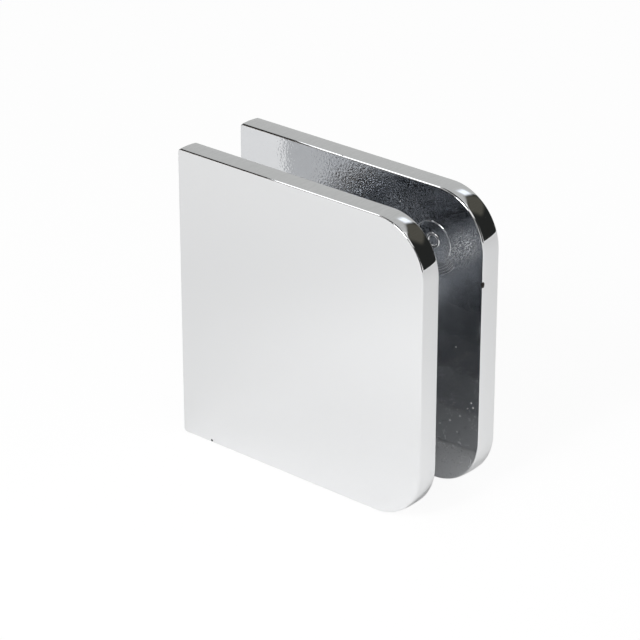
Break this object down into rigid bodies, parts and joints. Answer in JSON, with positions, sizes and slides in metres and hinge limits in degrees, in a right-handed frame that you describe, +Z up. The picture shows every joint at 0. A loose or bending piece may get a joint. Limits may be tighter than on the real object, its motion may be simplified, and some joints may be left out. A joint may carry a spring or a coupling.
{
  "type": "glass u-clamp",
  "caption": "Square U-shaped clamp in polished chrome that grips the edge of a glass panel between two legs and screws to a wall through a short web.",
  "frame": {"origin": "middle of the base: centre of the bounding box in X and Y, at the lower edges of the legs that it stands on", "axes": "+Z up, +X from the wall face to the glass mouth, +Y from the plain front leg to the rear leg with the set screws"},
  "size_m": [0.0508, 0.0186, 0.0508],
  "materials": {
    "polished_chrome": "mirror-polished outside, as cast and plated inside the slot",
    "set_screw_steel": "plain stainless"
  },
  "bodies": {
    "clamp": {"clamp_body": "polished_chrome"},
    "upper_screw": {"set_screw_upper": "set_screw_steel"},
    "lower_screw": {"set_screw_lower": "set_screw_steel"}
  },
  "joints": [
    {"name": "upper_screw_travel", "type": "slide", "parent": "clamp", "child": "upper_screw", "axis": [0, -1, 0], "range_m": [-0.0015, 0.0015]},
    {"name": "lower_screw_travel", "type": "slide", "parent": "clamp", "child": "lower_screw", "axis": [0, -1, 0], "range_m": [-0.0015, 0.0015]}
  ]
}
